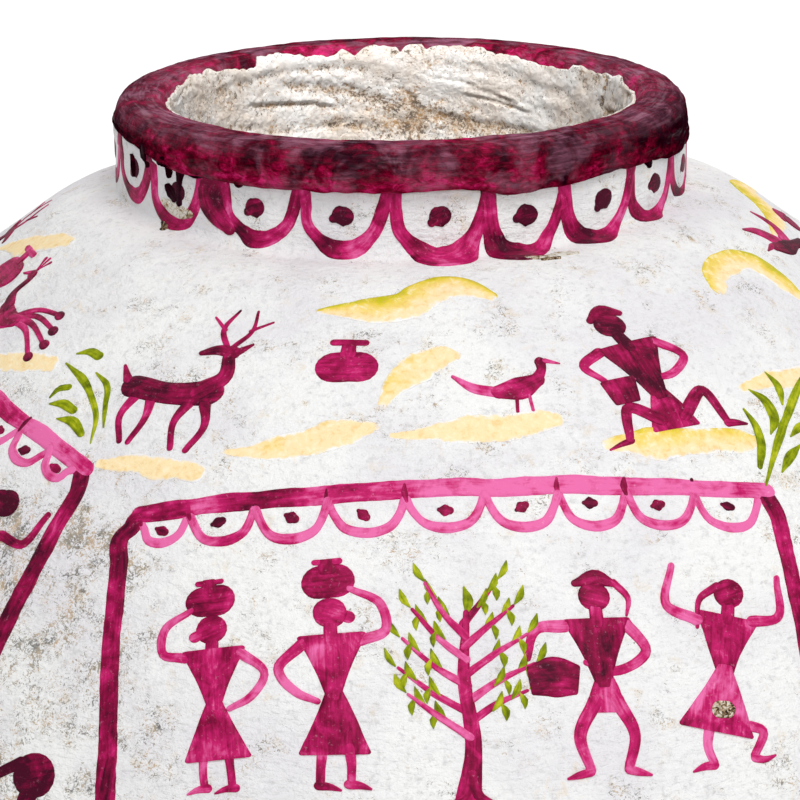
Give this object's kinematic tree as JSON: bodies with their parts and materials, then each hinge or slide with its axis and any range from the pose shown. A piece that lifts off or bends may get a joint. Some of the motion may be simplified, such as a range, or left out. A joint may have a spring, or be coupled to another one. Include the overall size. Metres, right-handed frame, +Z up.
{
  "type": "water jar",
  "caption": "Large round terracotta water jar, whitewashed and painted with a scalloped neck border and figure panels, with a short neck and a thick dark glossy rim.",
  "frame": {"origin": "centre of the flat underside that the jar stands on", "axes": "+Z up along the jar's axis and out of the mouth; -Y towards the side that the picture shows, with +X to its right"},
  "size_m": [0.565, 0.5648, 0.5094],
  "materials": {
    "terracotta": "unglazed fired clay, matte",
    "joint_slip": "fired clay slip, matte",
    "white_coat": "brushed white ground, matte, painted over",
    "mouth_plaster": "rough plaster, matte",
    "rim_enamel": "dark maroon enamel, semi-gloss"
  },
  "bodies": {
    "root": {"base_slab": "terracotta", "slip_under_foot_course": "joint_slip", "foot_course": "terracotta", "slip_under_lower_course": "joint_slip", "lower_course": "terracotta", "slip_under_belly_course": "joint_slip", "belly_course": "terracotta", "slip_under_upper_course": "joint_slip", "upper_course": "terracotta", "slip_under_shoulder_course": "joint_slip", "shoulder_course": "terracotta", "slip_under_crown_course": "joint_slip", "crown_course": "terracotta", "slip_under_neck_collar": "joint_slip", "neck_collar": "terracotta", "slip_under_rim_coil": "joint_slip", "rim_coil": "terracotta", "rim_enamel": "rim_enamel", "ground_coat": "white_coat", "mouth_plaster": "mouth_plaster"}
  },
  "joints": []
}
